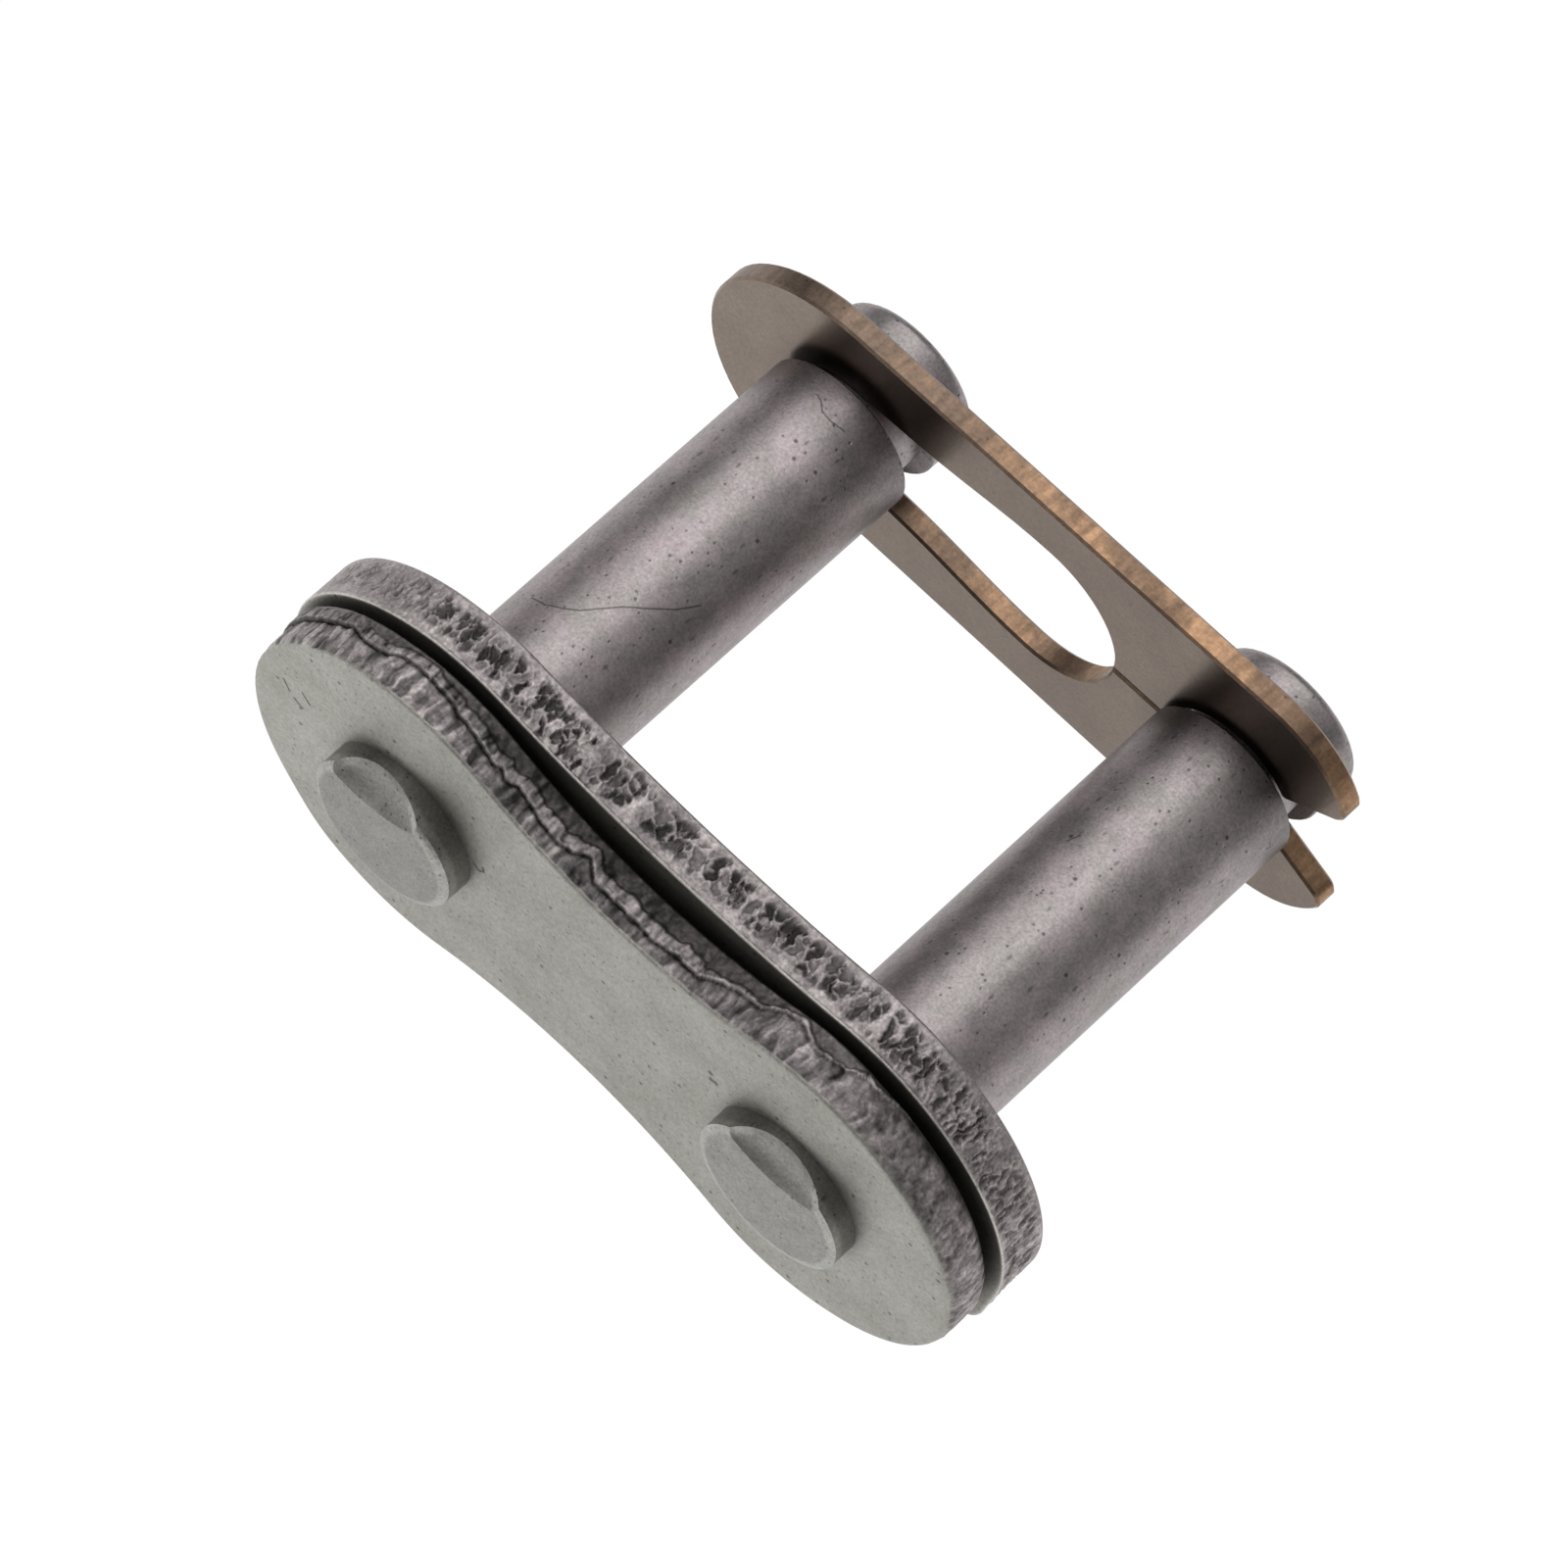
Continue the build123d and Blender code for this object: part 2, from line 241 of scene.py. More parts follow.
def front_edge(s, v, total):
    """Edge of the pin link plate. Places along it, at, are in quarters from the right-hand end.

    Down from the face come the sheared band, the crack where the steel tore, a bright lip, and the
    hollow that the tear left. past is how many mm a place lies beyond the crack.
    """
    at = s / total * 4
    left = ramp(0.42 - np.abs(at - 2), 0, 0.15)
    right = ramp(0.62 - np.minimum(at, 4 - at), 0, 0.25)
    face_round, back_round = 0.16 + 0.22 * left + 0.12 * right, 0.09 + 0.34 * right
    y, inset = edge_profile(v, PLATE_T, face_round, back_round)
    line_at, line_y = np.transpose(TEAR_LINE)
    beyond = 0.06 * ramp(at, 1.8, 2.0) * grain(s, 0 * s, total, 1.1, 1.0, 11, 3)
    tear = np.interp(at, line_at, line_y) + 0.018 * grain(s, 0 * s, total, 0.20, 1.0, 12, 2) + beyond
    past = y - tear
    inside = ramp(y, 0.05, 0.16) * ramp(PLATE_T - y, 0.0, 0.08)

    # The grain of each zone. bend and drop move the places a little, so that nothing runs straight.
    bend = 0.10 * grain(s, y, total, 0.9, 0.5, 15, 2)
    drop = 0.10 * grain(s, y, total, 0.50, 0.45, 16, 2)
    striae = grain(s + bend, y + drop, total, 0.22, 0.9, 21, 3)
    broad = grain(s + bend, y + drop, total, 0.55, 0.7, 41, 2)
    blot = ramp(grain(s + bend, y + drop, total, 0.22, 0.30, 25, 3), -0.1, 0.7)
    comb = grain(s - bend, y, total, 0.13, 0.4, 81, 2)
    lumps = grain(s, y, total, 0.14, 0.16, 31, 2)
    hair = grain(s + bend, y + drop, total, 0.09, 0.5, 35, 2)

    # The zones, each as a share from 0 to 1. The lip is width mm wide.
    places = [0.5, 0.80, 0.87, 1.33, 1.42, 1.6, 1.8]
    width = np.interp(at, places, [0.12, 0.10, 0.38, 0.34, 0.24, 0.30, 0.40])
    width = width + 0.05 * grain(s, 0 * s, total, 0.6, 1.0, 101, 3)
    sheared = ramp(-past, 0.0, 0.03) * inside
    hollow = ramp(past - width + 0.03 * lumps, -0.04, 0.08)
    lip = ramp(past, 0.0, 0.03) * (1 - hollow)
    open_by = np.interp(at, [0.45, 0.60, 0.82, 0.87, 4], [0.2, 0.45, 0.6, 1, 1])
    # crack is painted shade in the crack, and under a painted shadow just above it.
    crack = np.exp(-(((past + 0.02) / 0.038) ** 2)) * ramp(1 - right, 0, 0.3) * open_by
    under = np.exp(-(((past + 0.08) / 0.08) ** 2)) * (1 - right)
    crest = np.exp(-(((past - 0.05) / 0.022) ** 2))

    # The tone of the sheared band, which is darkest in the middle of the top edge.
    light, dark = np.maximum(striae, 0), np.minimum(striae, 0)
    places = [0.0, 0.3, 0.5, 0.7, 0.85, 1.15, 1.3, 1.42, 1.8, 4]
    level = np.interp(at, places, [0.78, 0.76, 0.70, 0.64, 0.54, 0.50, 0.66, 0.97, 1.02, 0.95])
    fold = 1 - 0.55 * right
    band = fold * (1.4 * light**1.3 + 0.45 * dark + 0.30 * broad + 0.45 * hair)
    band = level * (1 + band + (0.15 + 0.30 * right) * lumps) * (1 - 0.4 * fold * blot)
    # Painted shadow just above the crack, and painted shade towards the back round the right-hand end.
    band = band * (1 - 0.40 * under) * (1 - 0.35 * right * ramp(y, 0.95, 1.3))

    # The tone of the lip, with a painted highlight on its crest, and of the hollow, and all of them
    # together.
    clear = 0.70 * (1 + 0.60 * comb + 0.25 * lumps + 0.55 * hair) + 0.50 * crest
    # The hollow is dark partly for its torn steel and partly as painted shade towards the cover plate.
    deep = np.interp(at, [0.5, 0.80, 0.9, 1.3, 1.5], [0.42, 0.36, 0.22, 0.22, 0.42])
    deep = deep + 0.08 * lumps + 0.12 * comb
    back_rim = np.interp(at, [0.5, 0.85, 1.3, 1.5], [0.25, 0.06, 0.06, 0.25])
    deep = deep + back_rim * ramp(y, 1.30, 1.40)
    tone = 1 + sheared * (band - 1) + lip * (clear - 1) + hollow * (deep + 0.40 * left - 1)
    # Painted shade darkens the crack.
    tone = tone * (1 - 0.88 * crack)

    # How far in each zone lies.
    ripple = fold * (0.02 * blot - 0.014 * striae - 0.006 * hair)
    inset = inset + sheared * (0.030 - (0.008 + 0.006 * right) * lumps + ripple)
    inset = inset + 0.08 * left * inside * sheared
    inset = inset + 0.07 * crack + lip * (0.025 - 0.012 * comb - 0.006 * hair)
    inset = inset + hollow * (0.13 + 0.02 * lumps) * (1 - 0.5 * left)

    # Small chips brighten the rim just below the face.
    chipped = np.exp(-(((y - 0.05) / 0.035) ** 2)) * (1 - left) * (1 - right)
    tone = tone + 0.25 * chipped * ramp(lumps + striae, -0.4, 0.6)
    return y + 0 * s, np.maximum(inset, 0.0), np.clip(tone, 0.06, 1.45)


def put(tree, kind, inputs=None, **settings):
    """A new node. inputs maps a socket's name or number to a value or to another node's socket."""
    node = tree.nodes.new(kind)
    for key, value in settings.items():
        setattr(node, key, value)
    for key, value in (inputs or {}).items():
        if isinstance(value, bpy.types.NodeSocket):
            tree.links.new(value, node.inputs[key])
        else:
            node.inputs[key].default_value = value
    return node


def calc(tree, operation, a, b=0.0, c=0.0):
    """The result of a Math node."""
    return put(tree, "ShaderNodeMath", {0: a, 1: b, 2: c}, operation=operation).outputs[0]


def blend(tree, share, a, b):
    """Colour a turning into colour b by share."""
    inputs = {0: share, 6: a, 7: b}
    return put(tree, "ShaderNodeMix", inputs, data_type="RGBA", blend_type="MIX").outputs[2]


def between(tree, value, low, high):
    """0 at low and before it, 1 at high and beyond, eased between. low may be the larger one."""
    inputs = {0: value, 1: low, 2: high}
    node = put(tree, "ShaderNodeMapRange", inputs, interpolation_type="SMOOTHSTEP")
    return node.outputs[0]


def cloud(tree, where, size_mm, detail, rough):
    """Noise with grains of size_mm, from 0 to 1, in detail layers. rough is how much finer ones count."""
    inputs = {"Vector": where, "Scale": 1000 / size_mm, "Detail": detail, "Roughness": rough}
    return put(tree, "ShaderNodeTexNoise", inputs).outputs[0]


def pits(tree, where, spacing_mm, share, size, **settings):
    """1 in scattered specks: near the centres of a random few of the cells of spacing_mm.

    share is how many of the cells hold one, and size its radius as a share of the spacing. settings
    go to the Voronoi node.
    """
    inputs = {"Vector": where, "Scale": 1000 / spacing_mm, "Randomness": 1.0}
    cells = put(tree, "ShaderNodeTexVoronoi", inputs, **settings)
    chosen = put(tree, "ShaderNodeSeparateColor", {0: cells.outputs["Color"]}).outputs[0]
    chosen = calc(tree, "LESS_THAN", chosen, share)
    near = between(tree, cells.outputs["Distance"], size, size * 0.4)
    return calc(tree, "MULTIPLY", chosen, near)


def new_metal(name):
    """A metal material, its node tree, its shader and its Object coordinates."""
    material = bpy.data.materials.new(name)
    material.use_nodes = True
    tree = material.node_tree
    tree.nodes.clear()
    shader = put(tree, "ShaderNodeBsdfPrincipled", {"Metallic": 1.0})
    output = put(tree, "ShaderNodeOutputMaterial")
    tree.links.new(shader.outputs[0], output.inputs[0])
    where = put(tree, "ShaderNodeTexCoord").outputs["Object"]
    return material, tree, shader, where


def wire(tree, shader, **sockets):
    """Links sockets to the shader's inputs, with _ in a name for a space."""
    for key, value in sockets.items():
        tree.links.new(value, shader.inputs[key.replace("_", " ")])


def bumped(tree, height, distance_mm, **smooth):
    """The surface's direction with a relief, height times distance_mm, on it.

    smooth may hold Normal, the direction without the relief.
    """
    inputs = {"Height": height, "Distance": distance_mm * 0.001, **smooth}
    return put(tree, "ShaderNodeBump", inputs).outputs[0]


def dimmed(tree, colour, share):
    """The colour times share."""
    inputs = {0: colour, "Scale": share}
    return put(tree, "ShaderNodeVectorMath", inputs, operation="SCALE").outputs[0]


def crevice_shade(tree, reach_mm, depth):
    """1 in the open, down to 1 - depth as painted shade, found by ambient occlusion: in what lies close
    under other metal.
    """
    inputs = {"Distance": reach_mm * 0.001}
    open_share = put(tree, "ShaderNodeAmbientOcclusion", inputs, samples=4).outputs["AO"]
    inputs = {0: open_share, 1: 0.25, 2: 0.95, 3: 1 - depth, 4: 1.0}
    return put(tree, "ShaderNodeMapRange", inputs).outputs[0]


def strokes(tree, u, v, lines, width):
    """1 on each of the lines, fading to 0 at width from it. A line is (u, v) points in metres."""
    place = put(tree, "ShaderNodeCombineXYZ", {0: u, 1: v}).outputs[0]
    nearest = None
    for line in lines:
        for start, end in zip(line, line[1:] or line):
            start, end = Vector((*start, 0)), Vector((*end, 0))
            along = end - start
            apart = put(tree, "ShaderNodeVectorMath", {0: place, 1: start}, operation="SUBTRACT")
            apart = apart.outputs[0]
            if along.length > 0:
                step = tuple(along / along.length_squared)
                share = put(tree, "ShaderNodeVectorMath", {0: apart, 1: step}, operation="DOT_PRODUCT")
                share = put(tree, "ShaderNodeClamp", {0: share.outputs["Value"]}).outputs[0]
                inputs = {0: tuple(along), "Scale": share}
                foot = put(tree, "ShaderNodeVectorMath", inputs, operation="SCALE").outputs[0]
                inputs = {0: apart, 1: foot}
                apart = put(tree, "ShaderNodeVectorMath", inputs, operation="SUBTRACT").outputs[0]
            gap = put(tree, "ShaderNodeVectorMath", {0: apart}, operation="LENGTH").outputs["Value"]
            nearest = gap if nearest is None else calc(tree, "MINIMUM", nearest, gap)
    return between(tree, nearest, width, width * 0.4)


FACE_DARK, FACE_PALE = (0.340, 0.330, 0.296, 1), (0.395, 0.388, 0.356, 1)
SIDE_DARK, SIDE_PALE = (0.36, 0.325, 0.325, 1), (0.42, 0.385, 0.38, 1)
GAP_SHADE = (0.075, 0.055, 0.045, 1)
PLATE_DIRT = (0.05, 0.045, 0.04, 1)
PLATE_CREVICE_SHADE = (0.045, 0.038, 0.032, 1)
# Handling marks on the front plate's face, as lines of (x, z), and three small dents, in mm.
MARKS = [
    [(-10.51, 1.04), (-10.28, 0.74)],
    [(-9.90, 1.22), (-9.64, 0.98)],
    [(-10.10, 0.60), (-9.82, 0.49)],
    [(-4.12, 0.86), (-3.95, 0.74), (-3.80, 0.90), (-3.85, 1.05)],
]
DENTS = [[(3.58, 1.58)], [(3.78, 1.33)], [(3.66, 1.30)]]


def tumbled_steel(name):
    """Tumbled plate steel: mottled and peened, rougher down its edge, with handling marks.

    The mesh says what lies on the edge, and the tone of each place there.
    """
    material, tree, shader, where = new_metal(name)
    axes = put(tree, "ShaderNodeSeparateXYZ", {0: where}).outputs
    mottle = cloud(tree, where, 1.8, 4.0, 0.6)
    peen = cloud(tree, where, 0.09, 3.0, 0.65)
    flat = put(tree, "ShaderNodeCombineXYZ", {0: axes[0], 1: axes[2]}).outputs[0]
    speck = pits(tree, flat, 0.30, share=0.20, size=0.19, voronoi_dimensions="2D")
    spot = pits(tree, flat, 0.9, share=0.25, size=0.085, voronoi_dimensions="2D")
    tone = put(tree, "ShaderNodeAttribute", attribute_name="tone").outputs["Fac"]
    edge = put(tree, "ShaderNodeAttribute", attribute_name="edge").outputs["Fac"]

    # The steel's colour is mottled, and the face gets paler towards its left-hand end.
    face = blend(tree, between(tree, mottle, 0.3, 0.7), FACE_DARK, FACE_PALE)
    side = blend(tree, between(tree, mottle, 0.35, 0.65), SIDE_DARK, SIDE_PALE)
    brushed = cloud(tree, where, 0.35, 3.0, 0.6)
    left_end = calc(tree, "MULTIPLY_ADD", between(tree, axes[0], -6e-3, -10.5e-3), 0.14, 0.90)
    face = dimmed(tree, face, calc(tree, "MULTIPLY_ADD", brushed, 0.26, left_end))
    colour = blend(tree, edge, face, side)
    depth = calc(tree, "MULTIPLY_ADD", edge, 0.7, 0.9)
    fleck = calc(tree, "MULTIPLY_ADD", calc(tree, "SUBTRACT", peen, 0.5), depth, 1.0)
    colour = dimmed(tree, dimmed(tree, colour, tone), fleck)

    # Painted shade on the plates' faces that look into the gap between them.
    behind = between(tree, axes[1], -7.22e-3, -7.13e-3)
    behind = calc(tree, "MULTIPLY", behind, between(tree, axes[1], -6.89e-3, -6.905e-3))
    colour = blend(tree, calc(tree, "MULTIPLY", behind, 0.38), colour, GAP_SHADE)

    # Specks and spots on the faces, and marks and dents on the front plate's outer face.
    dirt = calc(tree, "MAXIMUM", calc(tree, "MULTIPLY", speck, 0.42), calc(tree, "MULTIPLY", spot, 0.7))
    dirt = calc(tree, "MULTIPLY", dirt, calc(tree, "SUBTRACT", 1.0, edge))
    marks = [[(x * 0.001, z * 0.001) for x, z in line] for line in MARKS]
    dents = [[(x * 0.001, z * 0.001) for x, z in line] for line in DENTS]
    mark = strokes(tree, axes[0], axes[2], marks, 0.06e-3)
    mark = calc(tree, "MAXIMUM", mark, strokes(tree, axes[0], axes[2], dents, 0.12e-3))
    outer = between(tree, axes[1], -8.3e-3, -8.5e-3)
    mark = calc(tree, "MULTIPLY", mark, outer)
    dirt = calc(tree, "MAXIMUM", dirt, calc(tree, "MULTIPLY", mark, 0.75))
    colour = blend(tree, dirt, colour, PLATE_DIRT)
    # Painted shade, from ambient occlusion, where other metal lies close.
    colour = blend(tree, crevice_shade(tree, reach_mm=0.5, depth=0.35), PLATE_CREVICE_SHADE, colour)
    rough = calc(tree, "MULTIPLY_ADD", edge, 0.12, 0.50)
    wire(tree, shader, Base_Color=colour, Roughness=rough, Normal=bumped(tree, peen, 0.005))
    return material


plate_steel = tumbled_steel("plate steel")

outline = waisted_outline(PLATE_R, PLATE_WAIST, 450)
mesh = plate_mesh("pin link plate", outline, PLATE_T, PLATE_Y, front_edge, PIN_SEAT_R)
mesh.materials.append(plate_steel)
link_plate = bpy.data.objects.new("blanked_pin_link_plate", mesh)
bpy.context.scene.collection.objects.link(link_plate)
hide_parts("pin_link_plate")
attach(link_plate, "pinned_half")

# ---------------------------------------------------------------------------------------------
# The two pins are turned from bar, ground, polished in a barrel, and pressed into the plate. A punch
# staked each one's upper rim afterwards. Their steel is shinier than the plates', with small pits and
# a few hairline scratches.

PIN_R = 2.225
DOME_SPHERE_R = 4.9  # of the middle of the domed head
PIN_DARK, PIN_PALE = (0.337, 0.313, 0.304, 1), (0.425, 0.368, 0.378, 1)
STAKED_GREY = (0.300, 0.292, 0.272, 1)
WORN_BRIGHT = (0.50, 0.50, 0.47, 1)
STAKED_CORNER_SHADE = (0.07, 0.065, 0.06, 1)
PIN_DIRT = (0.05, 0.045, 0.045, 1)
PIN_CREVICE_SHADE = (0.03, 0.027, 0.026, 1)


def ground_steel(name, axis_x, lines, dots):
    """Polished pin steel: cloudy patches, fine pits, hairlines and spots.

    axis_x is where the pin's axis stands, in mm. lines and dots lie on the pin's side: degrees from
    its top towards +X, and mm along Y.
    """
    material, tree, shader, where = new_metal(name)
    patches = cloud(tree, where, 1.2, 5.0, 0.7)
    fine = cloud(tree, where, 0.08, 3.0, 0.65)
    speck = pits(tree, where, 0.24, share=0.50, size=0.22)
    inputs = {0: where, 1: (1.0, 0.45, 1.0)}
    along = put(tree, "ShaderNodeVectorMath", inputs, operation="MULTIPLY").outputs[0]
    dash = pits(tree, along, 0.36, share=0.45, size=0.18)
    spot = pits(tree, where, 0.8, share=0.35, size=0.075)

    # A place on the pin's side is so many metres round it and along it.
    axes = put(tree, "ShaderNodeSeparateXYZ", {0: where}).outputs
    aside = calc(tree, "SUBTRACT", axes[0], axis_x * 0.001)
    round_it = calc(tree, "MULTIPLY", calc(tree, "ARCTAN2", aside, axes[2]), PIN_R * 0.001)
    lines = [[(np.radians(a) * PIN_R * 0.001, y * 0.001) for a, y in line] for line in lines]
    dots = [[(np.radians(a) * PIN_R * 0.001, y * 0.001)] for a, y in dots]
    line = calc(tree, "MULTIPLY", strokes(tree, round_it, axes[1], lines, 0.032e-3), 0.65)
    dot = calc(tree, "MULTIPLY", strokes(tree, round_it, axes[1], dots, 0.075e-3), 0.75)

    # The staked end is greyer. Its rim is worn bright, and painted shade darkens its side where it leaves
    # the plate.
    colour = blend(tree, between(tree, patches, 0.38, 0.62), PIN_DARK, PIN_PALE)
    staked_end = between(tree, axes[1], -8.45e-3, -8.6e-3)
    colour = blend(tree, staked_end, colour, STAKED_GREY)
    off_axis = calc(tree, "POWER", aside, 2.0)
    off_axis = calc(tree, "SQRT", calc(tree, "MULTIPLY_ADD", axes[2], axes[2], off_axis))
    rim = between(tree, off_axis, 1.90e-3, 2.05e-3)
    worn = calc(tree, "MULTIPLY", rim, between(tree, axes[1], -8.98e-3, -9.12e-3))
    colour = blend(tree, calc(tree, "MULTIPLY", worn, 0.6), colour, WORN_BRIGHT)
    # Painted shade on the staked end's side, where it leaves the plate.
    corner_shade = calc(tree, "MULTIPLY", rim, between(tree, axes[1], -9.08e-3, -8.86e-3))
    corner_shade = calc(tree, "MULTIPLY", corner_shade, staked_end)
    colour = blend(tree, calc(tree, "MULTIPLY", corner_shade, 0.20), colour, STAKED_CORNER_SHADE)

    # Painted shade darkens the last part before the clip's groove, where the clip shades the pin.
    near_clip_shade = between(tree, axes[1], 4.2e-3, 6.4e-3)
    near_clip_shade = calc(tree, "MULTIPLY", near_clip_shade, between(tree, axes[1], 6.60e-3, 6.55e-3))
    colour = dimmed(tree, colour, calc(tree, "MULTIPLY_ADD", near_clip_shade, -0.34, 1.0))
    smudge = cloud(tree, along, 0.40, 3.0, 0.6)
    fleck = calc(tree, "MULTIPLY_ADD", fine, 1.1, calc(tree, "MULTIPLY_ADD", smudge, 0.5, 0.20))
    # Painted shade, from ambient occlusion, where other metal lies close.
    colour = blend(tree, crevice_shade(tree, reach_mm=0.5, depth=0.28), PIN_CREVICE_SHADE, dimmed(tree, colour, fleck))
    dirt = calc(tree, "MAXIMUM", calc(tree, "MULTIPLY", speck, 0.55), calc(tree, "MULTIPLY", spot, 0.7))
    dirt = calc(tree, "MAXIMUM", dirt, calc(tree, "MULTIPLY", dash, 0.5))
    dirt = calc(tree, "MAXIMUM", dirt, calc(tree, "MAXIMUM", line, dot))
    colour = blend(tree, dirt, colour, PIN_DIRT)

    # Round the middle of the domed head the mesh's directions are uneven, so a sphere's stand in.
    height = calc(tree, "MULTIPLY_ADD", speck, -1.1, fine)
    smooth = put(tree, "ShaderNodeNewGeometry").outputs["Normal"]
    dome = [calc(tree, "MULTIPLY", away, 1000 / DOME_SPHERE_R) for away in (aside, axes[2])]
    dome = put(tree, "ShaderNodeCombineXYZ", {0: dome[0], 1: 1.0, 2: dome[1]}).outputs[0]
    settings = {"vector_type": "NORMAL", "convert_from": "OBJECT", "convert_to": "WORLD"}
    dome = put(tree, "ShaderNodeVectorTransform", {0: dome}, **settings).outputs[0]
    pole = between(tree, off_axis, 0.42e-3, 0.38e-3)
    pole = calc(tree, "MULTIPLY", pole, between(tree, axes[1], 9.0e-3, 9.1e-3))
    smooth = put(tree, "ShaderNodeMix", {0: pole, 4: smooth, 5: dome}, data_type="VECTOR").outputs[1]
    smooth = put(tree, "ShaderNodeVectorMath", {0: smooth}, operation="NORMALIZE").outputs[0]
    rough = calc(tree, "MULTIPLY_ADD", patches, 0.16, 0.38)
    wire(tree, shader, Base_Color=colour, Roughness=rough, Normal=bumped(tree, height, 0.005, Normal=smooth))
    return material


# Long scratches and dark spots: degrees from the pin's top towards +X, and mm along Y.
hairline = [(-42.8, -2.97), (-29.1, -2.99), (-17.3, -2.81), (-8.7, -2.58), (-0.1, -2.16), (7.5, -1.76)]
hairline += [(17.9, -1.34), (30.4, -0.76), (39.1, -0.17)]
hook = [(-12.5, 5.74), (-7.2, 5.66), (-2.0, 5.48), (6.4, 5.45), (16.2, 5.53)]
spots = [(1.0, 4.44), (8.5, 4.08), (32.0, 1.99), (-35.2, 1.63), (44.0, -1.34), (23.7, 4.27)]
steel = ground_steel("pin 1 steel", -PITCH / 2, [hairline, hook], spots)
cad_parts["pin_1"].data.materials.clear()
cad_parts["pin_1"].data.materials.append(steel)

nick = [(-28.0, 1.75), (-24.0, 2.05)]
spots = [(35.4, -0.72), (59.7, -1.30), (-26.5, -2.47), (-4.7, 1.06), (-28.4, 1.91), (51.0, 0.75)]
spots += [(41.2, 4.75)]
steel = ground_steel("pin 2 steel", PITCH / 2, [nick], spots)
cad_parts["pin_2"].data.materials.clear()
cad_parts["pin_2"].data.materials.append(steel)

# ---------------------------------------------------------------------------------------------
# The cover plate comes from a shallower die, so its waist is less deep. It was blanked with a worn
# punch: its whole edge is torn and pitted, smoother only round the left-hand end, and a torn lip
# hangs at the lower right.

COVER_Y = -6.905  # of the face towards the pin link plate
COVER_T = 1.45
COVER_R = 5.35
COVER_WAIST = 4.88
COVER_BORE_R = 2.275


def torn_ground(s, y, total, size_s, size_y, seed):
    """Torn ground is patches round random points, one to each cell of size_s by size_y.

    Gives how far inside its patch a place lies, 0 where it is as near to a second point, and a
    random number for the patch.
    """
    columns, rows = max(4, round(total / size_s)), 16
    points = np.random.default_rng(seed).uniform(0, 1, (columns, rows, 3))
    u, v = s / total * columns, (y + 1.0) / size_y
    best, second, number = np.full(u.shape, 9.0), np.full(u.shape, 9.0), np.zeros(u.shape)
    for step_u, step_v in np.ndindex(3, 3):
        cell_u = np.floor(u).astype(int) + step_u - 1
        cell_v = np.floor(v).astype(int) + step_v - 1
        point = points[cell_u % columns, np.clip(cell_v, 0, rows - 1)]
        away = np.hypot(cell_u + point[..., 0] - u, cell_v + point[..., 1] - v)
        second = np.where(away < best, best, np.minimum(second, away))
        number = np.where(away < best, point[..., 2], number)
        best = np.minimum(best, away)
    return second - best, number


